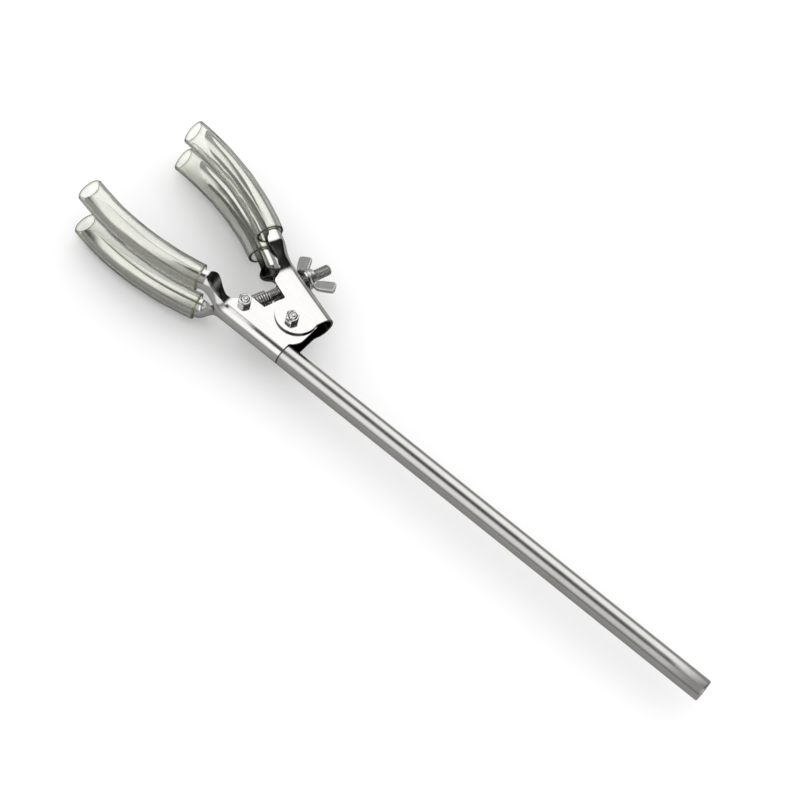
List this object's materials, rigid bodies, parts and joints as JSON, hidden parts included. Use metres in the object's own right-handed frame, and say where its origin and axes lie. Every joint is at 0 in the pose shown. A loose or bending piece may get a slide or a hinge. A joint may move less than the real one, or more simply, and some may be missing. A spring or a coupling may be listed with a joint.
{
  "type": "finger clamp",
  "caption": "Laboratory jaw clamp with sleeved curved fingers on two hinged steel jaws, an eye screw with wing nut and spring, and a plain round rod.",
  "frame": {"origin": "centre of the rod's free end, where a boss head takes the rod", "axes": "+X along the rod and out of its free end, so the fingers point to -X; +Y towards the moving jaw; +Z along the pivot bolt towards its nut"},
  "size_m": [0.4025, 0.0858, 0.0454],
  "materials": {
    "polished_steel": "polished stainless steel sheet",
    "drawn_steel": "drawn stainless steel bar",
    "bolt_steel": "bright turned steel",
    "spring_steel": "bright spring wire",
    "wing_nut_steel": "satin forged steel",
    "clear_vinyl": "clear soft vinyl tube"
  },
  "bodies": {
    "fixed_jaw": {"rod": "drawn_steel", "lower_jaw": "polished_steel", "sleeve_lower_near": "clear_vinyl", "sleeve_lower_far": "clear_vinyl", "pivot_bolt": "bolt_steel", "pivot_nut": "bolt_steel", "link_bolt": "bolt_steel", "link_nut": "bolt_steel"},
    "moving_jaw": {"upper_jaw": "polished_steel", "sleeve_upper_near": "clear_vinyl", "sleeve_upper_far": "clear_vinyl"},
    "screw": {"eye_screw": "bolt_steel", "spring": "spring_steel"},
    "washer": {"thrust_washer": "bolt_steel"},
    "nut": {"wing_nut": "wing_nut_steel"}
  },
  "joints": [
    {"name": "jaw_pivot", "type": "hinge", "parent": "fixed_jaw", "child": "moving_jaw", "pos_m": [-0.2787, 0.0152, 0], "axis": [0, 0, 1], "range_deg": [-8, 24]},
    {"name": "screw_swing", "type": "hinge", "parent": "fixed_jaw", "child": "screw", "pos_m": [-0.303, 0.00635, 0], "axis": [0, 0, 1], "range_deg": [-8.5, 24.5]},
    {"name": "nut_travel", "type": "slide", "parent": "screw", "child": "washer", "axis": [0.3, 0.9539, 0], "range_m": [-0.0097, 0.0034]},
    {"name": "nut_turn", "type": "hinge", "parent": "washer", "child": "nut", "pos_m": [-0.29144, 0.04308, 0], "axis": [0.3, 0.9539, 0], "range_deg": [-3450, 1180]}
  ],
  "couplings": [
    {"joint": "screw_swing", "follows": "jaw_pivot", "ratio": 1},
    {"joint": "nut_travel", "follows": "jaw_pivot", "m_per_rad": -0.0225},
    {"joint": "nut_turn", "follows": "jaw_pivot", "ratio": -141.37}
  ]
}
